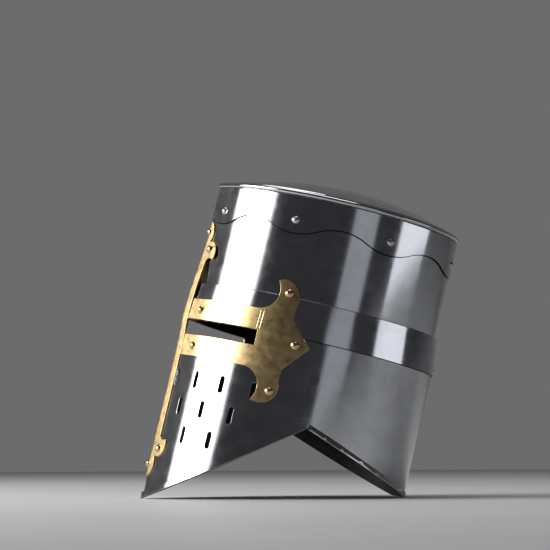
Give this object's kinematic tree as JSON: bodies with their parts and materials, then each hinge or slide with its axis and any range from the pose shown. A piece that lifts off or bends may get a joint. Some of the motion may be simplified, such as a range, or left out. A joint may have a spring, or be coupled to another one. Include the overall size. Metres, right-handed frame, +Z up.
{
  "type": "great helm",
  "caption": "Flat-topped steel great helm with a keeled face, brass cross round the eye slots, breath slots, scalloped crown strip and a leather suspension liner.",
  "frame": {"origin": "centre of the helmet's outline on the surface it stands on", "axes": "-Y where the wearer looks, +X towards the wearer's left, +Z up; the helmet leans back on its chin point and nape edge"},
  "size_m": [0.2, 0.3157, 0.3087],
  "materials": {
    "steel_plate": "polished, lightly scratched",
    "steel_rivet": "satin",
    "brass_plate": "polished, slightly tarnished",
    "brass_rivet": "satin",
    "leather": "vegetable tanned, matt",
    "lace": "matt",
    "pad_cover": "soft, matt"
  },
  "bodies": {
    "root": {"top_plate": "steel_plate", "crown_skirt": "steel_plate", "upper_shell": "steel_plate", "brow_band": "steel_plate", "face_plate": "steel_plate", "neck_plate": "steel_plate", "keel_bar": "brass_plate", "eye_plate_left": "brass_plate", "eye_plate_right": "brass_plate", "crown_rivets": "steel_rivet", "crown_rivet_washers": "steel_rivet", "keel_bar_rivets": "brass_rivet", "eye_rivets_left": "brass_rivet", "eye_rivets_right": "brass_rivet", "nape_rivet": "steel_rivet", "liner_hangers": "leather", "liner_headband": "leather", "liner_tongues": "leather", "liner_lace": "lace", "liner_rivets": "brass_rivet", "brow_pad": "pad_cover", "nape_pad": "pad_cover"}
  },
  "joints": []
}
